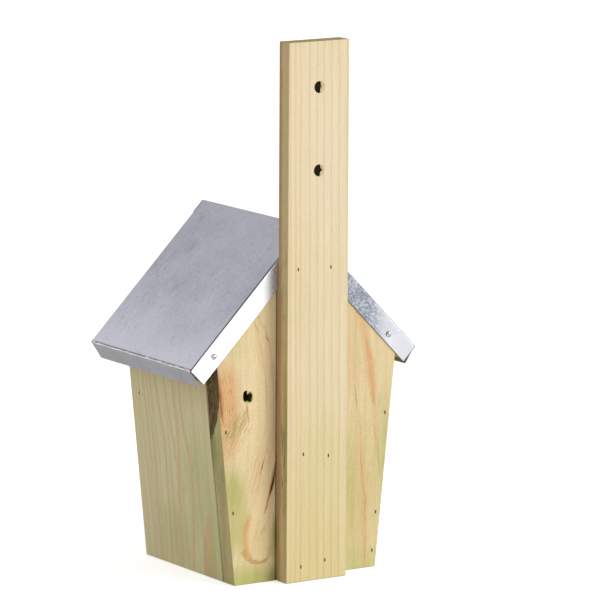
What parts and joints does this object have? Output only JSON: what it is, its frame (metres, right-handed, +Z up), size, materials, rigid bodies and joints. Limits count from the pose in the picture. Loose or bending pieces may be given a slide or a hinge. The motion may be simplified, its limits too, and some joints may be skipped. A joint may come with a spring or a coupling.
{
  "type": "wooden nest box on a mounting batten",
  "caption": "Pine nest box, narrow at the foot, with a steep gable roof clad in folded galvanised sheet and a tall back batten with hanging holes.",
  "frame": {"origin": "on the floor, under the middle of the whole object's box, with the ridge over it", "axes": "+Z up; +Y out of the batten's outer face, towards the wall or tree that it hangs on; the entrance faces -Y; +X is the right side as seen from the front"},
  "size_m": [0.188, 0.1488, 0.38],
  "materials": {
    "pine_batten": "planed pine, pale cream, clear growth lines",
    "pine_back": "planed pine, honey and green tints, bark on one edge",
    "pine_front": "planed pine",
    "pine_side": "pressure-treated pine, olive green",
    "pine_floor": "planed pine",
    "pine_roof": "sawn pine, olive brown",
    "galvanised_sheet": "galvanised, satin with fine spangle",
    "galvanised_nail": "galvanised, domed head",
    "brad_steel": "dull wire, slightly rusty"
  },
  "bodies": {
    "root": {"mounting_batten": "pine_batten", "back_panel": "pine_back", "front_panel": "pine_front", "right_side_panel": "pine_side", "left_side_panel": "pine_side", "floor_panel": "pine_floor", "right_roof_board": "pine_roof", "left_roof_board": "pine_roof", "roof_sheet": "galvanised_sheet", "batten_brad_top_right": "brad_steel", "batten_brad_top_left": "brad_steel", "batten_brad_middle_right": "brad_steel", "batten_brad_middle_left": "brad_steel", "batten_brad_bottom_right": "brad_steel", "batten_brad_bottom_left": "brad_steel", "back_brad_right_upper": "brad_steel", "back_brad_right_lower": "brad_steel", "back_brad_left_upper": "brad_steel", "back_brad_left_middle": "brad_steel", "back_brad_left_lower": "brad_steel", "front_brad_right": "brad_steel", "front_brad_left": "brad_steel", "roof_nail_back_right": "galvanised_nail", "roof_nail_back_left": "galvanised_nail", "roof_nail_front_right": "galvanised_nail", "roof_nail_front_left": "galvanised_nail"}
  },
  "joints": []
}
